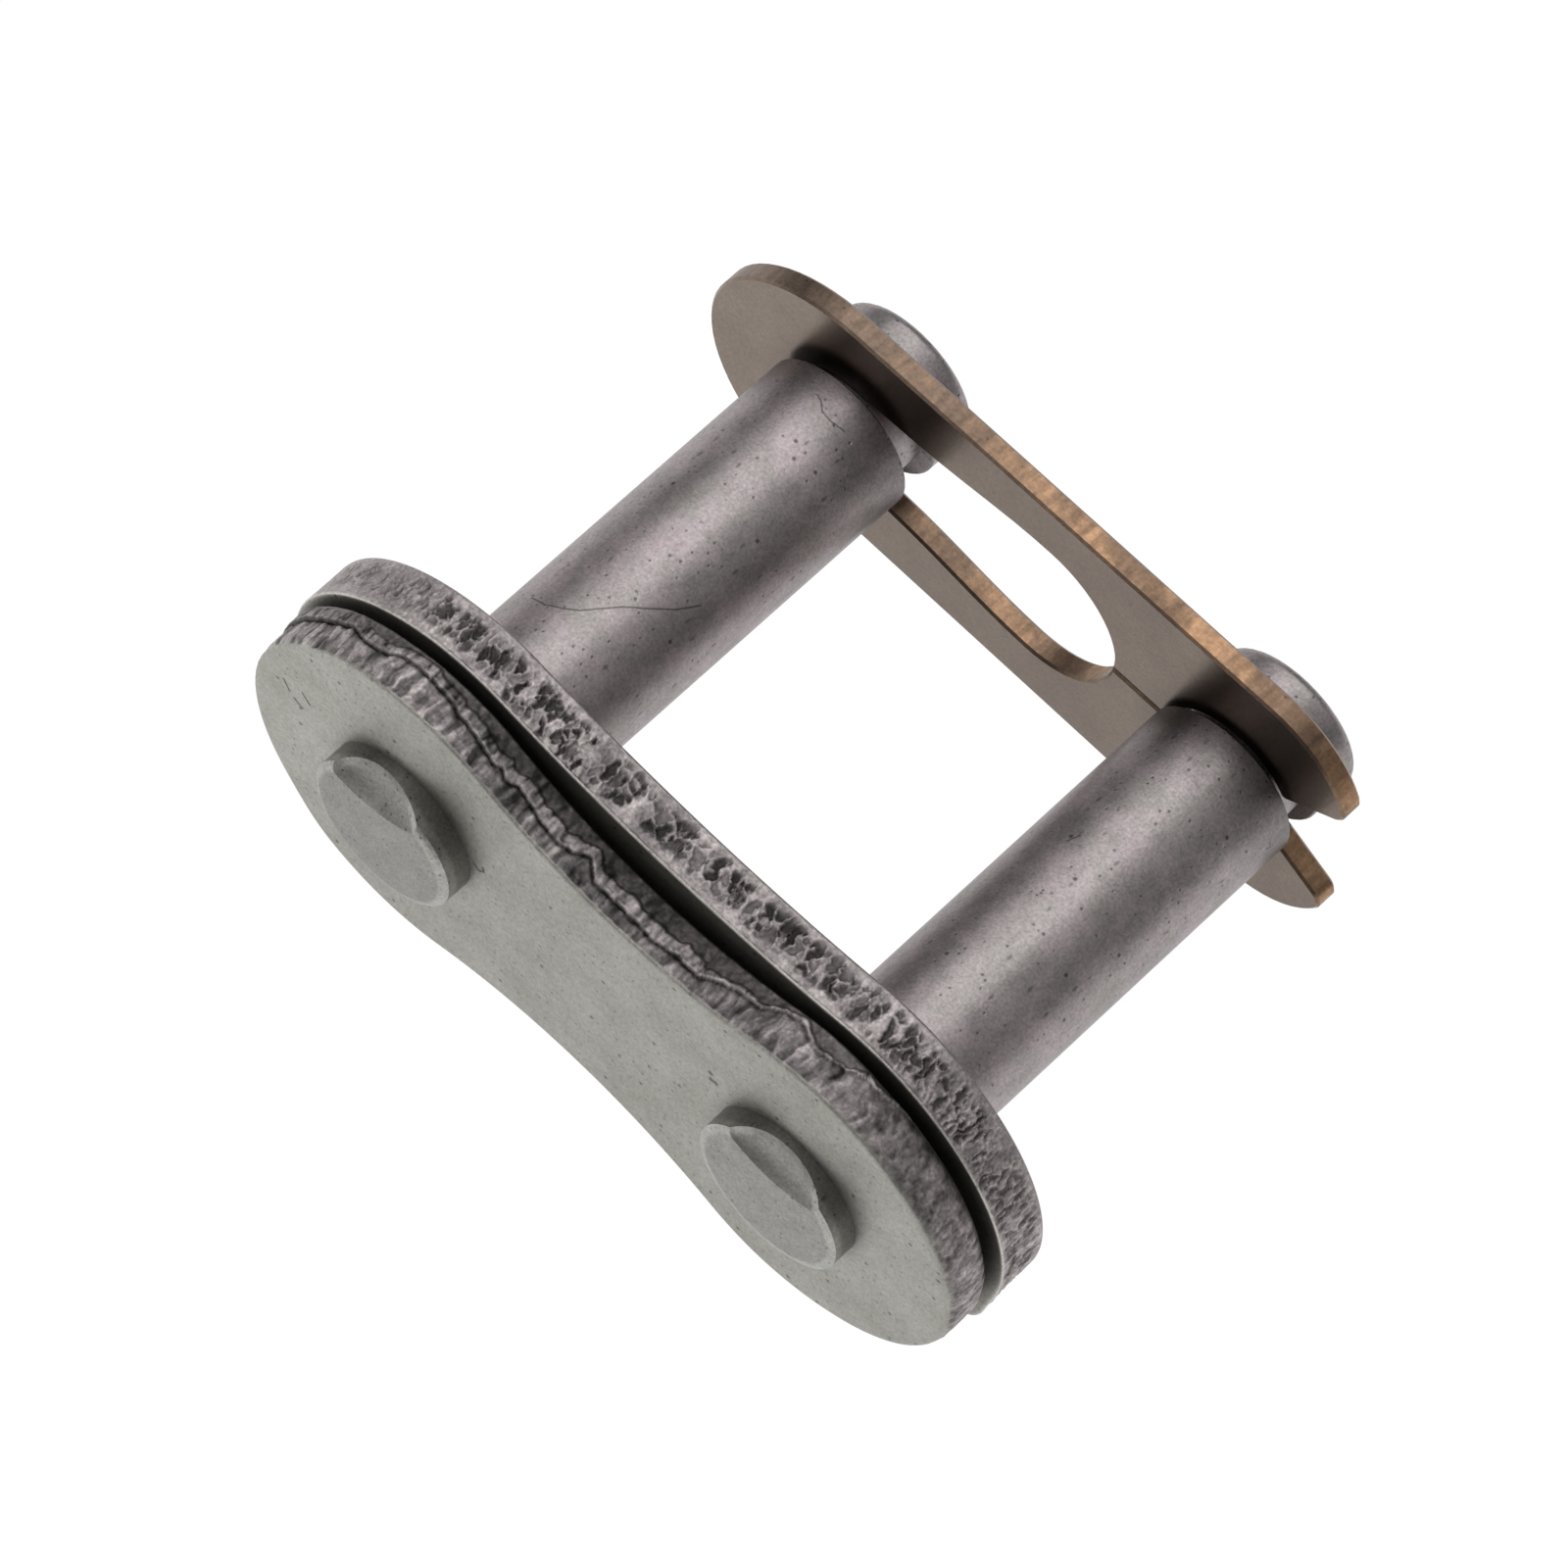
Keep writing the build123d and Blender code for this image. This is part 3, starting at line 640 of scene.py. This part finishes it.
def cover_edge(s, v, total):
    """Edge of the cover plate. Places along it, at, are in quarters from the right-hand end."""
    at = s / total * 4
    y, inset = edge_profile(v, COVER_T, 0.07, 0.16)
    places = [0.0, 0.35, 0.60, 0.66, 1.12, 1.20, 1.42, 1.55, 1.68, 1.90, 2.40, 3.00, 3.60, 4.00]
    torn = np.interp(at, places, [0.5, 0.8, 0.9, 1, 1, 1, 1, 0.9, 0.45, 0.10, 0.4, 0.8, 0.8, 0.5])
    start = [0, 0, 0.05, 0.22, 0.20, -0.1, 0.1, 0.2, 0.2, 0.2, 0.2, 0.3, 0.1, 0]
    start = np.interp(at, places, start)
    inside = ramp(y, 0.03, 0.10) * ramp(COVER_T - y, 0.04, 0.16)

    # bend and drop move the places a little, so that the patches get ragged.
    bend = 0.11 * grain(s, y, total, 0.40, 0.40, 15, 3) + 0.035 * grain(s, y, total, 0.12, 0.12, 17, 2)
    drop = 0.11 * grain(s, y, total, 0.40, 0.45, 16, 3) + 0.035 * grain(s, y, total, 0.12, 0.12, 18, 2)
    comb = grain(s - bend, y - drop, total, 0.17, 0.42, 61, 3)
    fine = grain(s, y, total, 0.10, 0.12, 71, 2)

    # Each patch is a pit, some deeper than others: wide patches where at is 0.6 to 1.2, and small
    # ones elsewhere. comb leaves ridges in them.
    wide_in, wide_no = torn_ground(s + bend, y + drop, total, 0.34, 0.66, 51)
    small_in, small_no = torn_ground(s + bend, y + drop, total, 0.22, 0.52, 52)
    wide_pit = ramp(wide_in, 0.02, 0.26) * (0.45 + 0.55 * ramp(wide_no, 0.08, 0.32))
    small_pit = ramp(small_in, 0.03, 0.34) * (0.40 + 0.60 * ramp(small_no, 0.12, 0.45))
    small = 1 - ramp(at, 0.58, 0.70) * ramp(1.22 - at, 0, 0.10)
    middle = ramp(y + 0.6 * drop, start, start + 0.30) * ramp(COVER_T - y - 0.6 * drop, 0.14, 0.40)
    pit = (wide_pit * (1 - small) + small_pit * small) * middle * inside * torn
    ridge = ramp(comb, 0.12, 0.6) * torn * inside
    crest = (1 - ramp(wide_in * (1 - small) + small_in * small, 0.0, 0.16)) * middle * torn

    # The torn lip stands out 26 degrees below the right-hand end, next to the face.
    angle = np.degrees(s / COVER_R)
    angle = np.where(at > 2, angle - np.degrees(total / COVER_R), angle)
    lip = np.exp(-(((angle + 26) / 9) ** 2)) * ramp(0.62 - y, 0, 0.2)
    wave = grain(s + bend, y, total, 0.24, 0.90, 91, 2) * inside
    rough = inside * (1 - 0.7 * ramp(at, 1.5, 1.75) * ramp(2.5 - at, 0, 0.3))
    inset = inset + 0.10 * pit * (1 - 0.65 * ridge) + rough * (0.035 - 0.014 * fine - 0.016 * wave)
    inset = inset - 0.22 * lip

    # The tone: dark in the pits, partly torn steel and partly painted shade; bright on the ridges, partly a
    # painted highlight; bright along the face's rim.
    tone = 1.09 + rough * (0.14 * fine + 0.25 * wave) + 0.30 * ridge + 0.15 * crest
    tone = tone * (1 - 0.08 * middle * torn)
    tone = tone * (1 - 0.86 * pit * (1 - 0.70 * ridge))
    rim = np.interp(at, [0, 0.4, 1.45, 1.8], [0.35, 0.60, 0.60, 0.30])
    rim = rim * np.exp(-(((y - 0.02) / 0.04) ** 2))
    tone = tone * np.interp(at, [1.2, 1.5, 2.4], [1.07, 1.22, 1.22]) + rim
    tone = tone * (1 - 0.22 * np.exp(-(((y - 1.42) / 0.05) ** 2)))
    return y + 0 * s, inset, np.clip(tone, 0.06, 1.8)


outline = waisted_outline(COVER_R, COVER_WAIST, 440)
mesh = plate_mesh("cover plate", outline, COVER_T, COVER_Y, cover_edge, COVER_BORE_R)
mesh.materials.append(plate_steel)
cover = bpy.data.objects.new("blanked_cover_plate", mesh)
bpy.context.scene.collection.objects.link(cover)
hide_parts("cover_plate")
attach(cover, "cover")

# ---------------------------------------------------------------------------------------------
# The spring clip is blanked from 0.65 mm hardened strip and tempered, which leaves it bronze: grey
# brown on its faces, and copper where the blanked edge was tumbled bright.

CLIP_DARK, CLIP_PALE = (0.138, 0.102, 0.079, 1), (0.165, 0.126, 0.098, 1)
COPPER_DARK, COPPER_PALE = (0.200, 0.132, 0.090, 1), (0.40, 0.245, 0.147, 1)
DULL_END = (0.205, 0.150, 0.115, 1)
CLIP_DIRT = (0.06, 0.045, 0.035, 1)
CLIP_CREVICE_SHADE = (0.020, 0.015, 0.013, 1)
NICKS = [[(-0.63, -2.55), (-0.42, -2.72)], [(-0.52, -2.95), (-0.37, -2.80)]]  # lines of (x, z) in mm


def tempered_steel(name):
    """Tempered spring steel: brown grey faces, coppery edges worn bright, fine specks."""
    material, tree, shader, where = new_metal(name)
    facing = put(tree, "ShaderNodeTexCoord").outputs["Normal"]
    facing = put(tree, "ShaderNodeSeparateXYZ", {0: facing}).outputs[1]
    on_edge = between(tree, calc(tree, "ABSOLUTE", facing), 0.9, 0.4)
    patches = cloud(tree, where, 2.6, 5.0, 0.65)
    fine = cloud(tree, where, 0.09, 3.0, 0.65)
    inputs = {0: where, 1: (1.0, 0.15, 1.0)}
    drawn = put(tree, "ShaderNodeVectorMath", inputs, operation="MULTIPLY").outputs[0]
    streak = cloud(tree, drawn, 0.22, 4.0, 0.6)
    face = blend(tree, between(tree, patches, 0.3, 0.7), CLIP_DARK, CLIP_PALE)
    edge = blend(tree, between(tree, patches, 0.42, 0.60), COPPER_DARK, COPPER_PALE)

    # Along the clip: the edge is dull at the closed end, and the face paler there.
    axes = put(tree, "ShaderNodeSeparateXYZ", {0: where}).outputs
    bright_end = calc(tree, "ADD", axes[0], calc(tree, "MULTIPLY_ADD", streak, 8e-3, -4e-3))
    bright_end = between(tree, bright_end, -9e-3, 3e-3)
    edge = blend(tree, bright_end, DULL_END, edge)
    closed_end = between(tree, axes[0], -5e-3, -9.5e-3)
    face = dimmed(tree, face, calc(tree, "MULTIPLY_ADD", closed_end, 0.25, 1.0))
    blotch = cloud(tree, where, 0.20, 4.0, 0.65)
    edge = dimmed(tree, edge, calc(tree, "MULTIPLY_ADD", streak, 0.6, 0.2))
    edge = dimmed(tree, edge, calc(tree, "MULTIPLY_ADD", blotch, 1.6, 1.2))
    speck = pits(tree, where, 0.40, share=0.18, size=0.14)
    colour = blend(tree, on_edge, face, edge)
    fleck = calc(tree, "MULTIPLY_ADD", fine, 0.8, 0.6)
    colour = dimmed(tree, colour, fleck)
    # Painted shade, from ambient occlusion, where other metal lies close.
    colour = blend(tree, crevice_shade(tree, reach_mm=1.0, depth=0.5), CLIP_CREVICE_SHADE, colour)
    dirt = calc(tree, "MULTIPLY", speck, 0.6)
    nicks = [[(x * 0.001, z * 0.001) for x, z in line] for line in NICKS]
    nick = calc(tree, "MULTIPLY", strokes(tree, axes[0], axes[2], nicks, 0.03e-3), 0.6)
    colour = blend(tree, calc(tree, "MAXIMUM", dirt, nick), colour, CLIP_DIRT)
    rough = calc(tree, "MULTIPLY_ADD", on_edge, 0.16, 0.26)
    wire(tree, shader, Base_Color=colour, Roughness=rough, Normal=bumped(tree, fine, 0.003))
    return material


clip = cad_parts["spring_clip"]
clip.data.materials.clear()
clip.data.materials.append(tempered_steel("clip steel"))

# ---------------------------------------------------------------------------------------------
# The table is a plain white sheet under the link, which stands on the lower edge of its cover plate.
# It glows for the camera and in reflections, and is matte for the light that it throws back.

TABLE_Z = -5.36e-3
TABLE_HALF = 0.6
table_mesh = bpy.data.meshes.new("table")
corners = [(x, y, TABLE_Z) for x, y in ((-1, -1), (1, -1), (1, 1), (-1, 1))]
corners = [(x * TABLE_HALF, y * TABLE_HALF, z) for x, y, z in corners]
table_mesh.from_pydata(corners, [], [(0, 1, 2, 3)])
table = bpy.data.objects.new("table", table_mesh)
bpy.context.scene.collection.objects.link(table)
paper = bpy.data.materials.new("white paper")
paper.use_nodes = True
tree = paper.node_tree
tree.nodes.clear()
path = put(tree, "ShaderNodeLightPath")
seen = calc(tree, "MAXIMUM", path.outputs["Is Camera Ray"], path.outputs["Is Glossy Ray"])
matte = put(tree, "ShaderNodeBsdfDiffuse", {"Color": (0.8, 0.8, 0.8, 1)})
glow = put(tree, "ShaderNodeEmission", {"Color": (1, 1, 1, 1), "Strength": 1.06})
share = calc(tree, "MULTIPLY", seen, 0.94)
mixed = put(tree, "ShaderNodeMixShader", {0: share, 1: matte.outputs[0], 2: glow.outputs[0]})
output = put(tree, "ShaderNodeOutputMaterial")
tree.links.new(mixed.outputs[0], output.inputs[0])
table_mesh.materials.append(paper)

# ---------------------------------------------------------------------------------------------
# Studio: a room that is grey for the link and gets lighter overhead, and white for the camera. Two
# soft boxes hang overhead behind the link, and a third stands in front on the left.

world = bpy.data.worlds.new("studio")
bpy.context.scene.world = world
world.use_nodes = True
tree = world.node_tree
tree.nodes.clear()
path = put(tree, "ShaderNodeLightPath")
up = put(tree, "ShaderNodeTexCoord").outputs["Generated"]
up = put(tree, "ShaderNodeSeparateXYZ", {0: up}).outputs[2]
height = between(tree, up, 0.1, 0.9)
grey = blend(tree, height, (0.10, 0.10, 0.10, 1), (0.45, 0.45, 0.45, 1))
room = put(tree, "ShaderNodeBackground", {0: grey, 1: 1.0})
white = put(tree, "ShaderNodeBackground", {0: (1, 1, 1, 1), 1: 1.0})
inputs = {0: path.outputs["Is Camera Ray"], 1: room.outputs[0], 2: white.outputs[0]}
mixed = put(tree, "ShaderNodeMixShader", inputs)
output = put(tree, "ShaderNodeOutputWorld")
tree.links.new(mixed.outputs[0], output.inputs[0])


def soft_box(name, place, size, watts):
    """A square lamp of size metres at place, turned to the middle of the link."""
    lamp = bpy.data.lights.new(name, "AREA")
    lamp.shape, lamp.size, lamp.energy = "SQUARE", size, watts
    lamp_object = bpy.data.objects.new(name, lamp)
    bpy.context.scene.collection.objects.link(lamp_object)
    lamp_object.location = place
    turn = (Vector() - Vector(place)).to_track_quat("-Z", "Y")
    lamp_object.rotation_euler = turn.to_euler()


soft_box("overhead box", (-0.18, 0.12, 0.43), 0.36, 0.60)
soft_box("strip", (0.0, 0.15, 0.48), 0.10, 0.15)
soft_box("front box", (-0.30, -0.45, 0.35), 0.35, 0.4)

# ---------------------------------------------------------------------------------------------
# The camera stands 225 mm off with a long lens, above the staked ends and a little to the right.
# right, down and ahead are the directions of its picture.

camera_data = bpy.data.cameras.new("camera")
camera = bpy.data.objects.new("camera", camera_data)
bpy.context.scene.collection.objects.link(camera)
camera_data.sensor_width = 36.0
camera_data.lens = 216.03
camera_data.clip_start = 0.01
camera_data.clip_end = 10.0
right = Vector((0.71361858, 0.68937405, 0.12454690))
down = Vector((0.66999006, -0.61970478, -0.40875336))
ahead = right.cross(down)
turn = Matrix((right, -down, -ahead)).transposed().to_4x4()
stand = Matrix.Translation((0.04513299, -0.08544553, 0.20270879))
camera.matrix_world = stand @ turn
bpy.context.scene.camera = camera
bpy.context.scene.view_settings.view_transform = "Standard"
